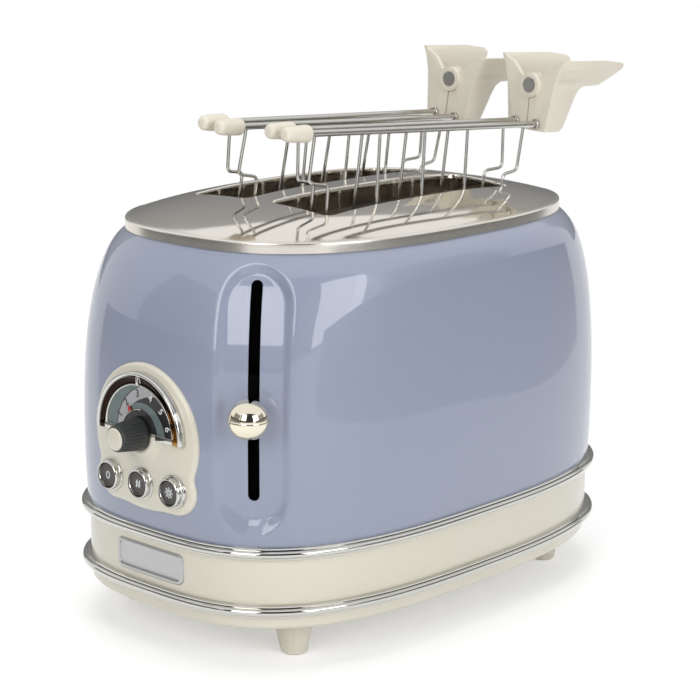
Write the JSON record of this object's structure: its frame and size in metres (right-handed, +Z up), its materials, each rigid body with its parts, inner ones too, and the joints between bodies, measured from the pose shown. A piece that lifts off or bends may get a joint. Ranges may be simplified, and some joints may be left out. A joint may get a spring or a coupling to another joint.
{
  "type": "two-slot pop-up toaster",
  "caption": "Rounded pop-up toaster with a domed metal top, half-moon browning dial, push buttons, ball lever and a wire sandwich tong in each slot.",
  "frame": {"origin": "on the floor under the middle of the housing", "axes": "+Z up, X along the housing with the control panel at -X and the tong handles at +X, Y across it with the lever at -Y"},
  "size_m": [0.3311, 0.2076, 0.2934],
  "materials": {
    "shell_paint": "gloss",
    "cream_paint": "satin",
    "chrome": "polished",
    "polished_steel": "polished",
    "steel": "satin",
    "tray_metal": "satin",
    "cream_plastic": "gloss",
    "dark_plastic": "gloss",
    "dial_face": "satin",
    "mica": "matte",
    "board": "satin",
    "copper": "satin",
    "rubber": "matte"
  },
  "bodies": {
    "housing": {"shell": "shell_paint", "top_plate": "polished_steel", "upper_ring": "chrome", "base_band": "cream_paint", "lower_ring": "chrome", "base_pan": "cream_paint", "feet": "cream_paint", "foot_screws": "steel", "cord_gland": "rubber", "badge_plate": "chrome", "control_plate": "cream_paint", "dial_bezel": "chrome", "dial_face": "dial_face", "button_bezels": "chrome", "circuit_board": "board", "guide_rod": "polished_steel", "return_spring": "steel", "latch_magnet": "copper", "front_frame": "steel", "rear_frame": "steel", "near_outer_heater": "mica", "near_inner_heater": "mica", "far_inner_heater": "mica", "far_outer_heater": "mica", "near_outer_guard": "steel", "near_inner_guard": "steel", "far_inner_guard": "steel", "far_outer_guard": "steel"},
    "lever_carriage": {"lever_ball": "chrome", "lever_arm": "steel", "carriage": "steel", "near_bread_rack": "steel", "far_bread_rack": "steel"},
    "dial": {"dial_knob": "dark_plastic", "knob_cap": "cream_plastic", "dial_shaft": "steel"},
    "stop_key": {"stop_button": "dark_plastic"},
    "reheat_key": {"reheat_button": "dark_plastic"},
    "defrost_key": {"defrost_button": "dark_plastic"},
    "tray": {"crumb_tray": "tray_metal"},
    "near_tong": {"near_tong_front_handle": "cream_plastic", "near_tong_front_jaw": "polished_steel", "near_tong_front_cap": "cream_plastic", "near_tong_pin": "polished_steel", "near_tong_spring": "steel"},
    "near_tong_back": {"near_tong_back_handle": "cream_plastic", "near_tong_back_jaw": "polished_steel", "near_tong_back_cap": "cream_plastic"},
    "far_tong": {"far_tong_front_handle": "cream_plastic", "far_tong_front_jaw": "polished_steel", "far_tong_front_cap": "cream_plastic", "far_tong_pin": "polished_steel", "far_tong_spring": "steel"},
    "far_tong_back": {"far_tong_back_handle": "cream_plastic", "far_tong_back_jaw": "polished_steel", "far_tong_back_cap": "cream_plastic"}
  },
  "joints": [
    {"name": "lever_slide", "type": "slide", "parent": "housing", "child": "lever_carriage", "axis": [0, 0, 1], "range_m": [-0.041, 0.06], "stiffness_N_per_m": 120, "springref_m": 0.013, "deforming": ["return_spring"]},
    {"name": "dial_turn", "type": "hinge", "parent": "housing", "child": "dial", "pos_m": [-0.151, 0, 0.1158], "axis": [1, 0, 0], "range_deg": [-40, 110]},
    {"name": "stop_press", "type": "slide", "parent": "housing", "child": "stop_key", "axis": [1, 0, 0], "range_m": [0, 0.0015], "stiffness_N_per_m": 600, "springref_m": -0.001},
    {"name": "reheat_press", "type": "slide", "parent": "housing", "child": "reheat_key", "axis": [1, 0, 0], "range_m": [0, 0.0015], "stiffness_N_per_m": 600, "springref_m": -0.001},
    {"name": "defrost_press", "type": "slide", "parent": "housing", "child": "defrost_key", "axis": [1, 0, 0], "range_m": [0, 0.0015], "stiffness_N_per_m": 600, "springref_m": -0.001},
    {"name": "tray_pull", "type": "slide", "parent": "housing", "child": "tray", "axis": [1, 0, 0], "range_m": [0, 0.14]},
    {"name": "near_tong_lift", "type": "slide", "parent": "housing", "child": "near_tong", "axis": [0, 0, 1], "range_m": [0, 0.12]},
    {"name": "near_tong_open", "type": "hinge", "parent": "near_tong", "child": "near_tong_back", "pos_m": [0.10369, -0.04563, 0.27615], "axis": [0.9977, -0.0383, -0.0558], "range_deg": [0, 9], "stiffness_Nm_per_rad": 0.8, "springref_deg": -5.73},
    {"name": "far_tong_lift", "type": "slide", "parent": "housing", "child": "far_tong", "axis": [0, 0, 1], "range_m": [0, 0.12]},
    {"name": "far_tong_open", "type": "hinge", "parent": "far_tong", "child": "far_tong_back", "pos_m": [0.10449, 0.01419, 0.27512], "axis": [0.9981, 0.0226, -0.0576], "range_deg": [0, 9], "stiffness_Nm_per_rad": 0.8, "springref_deg": -5.73}
  ]
}
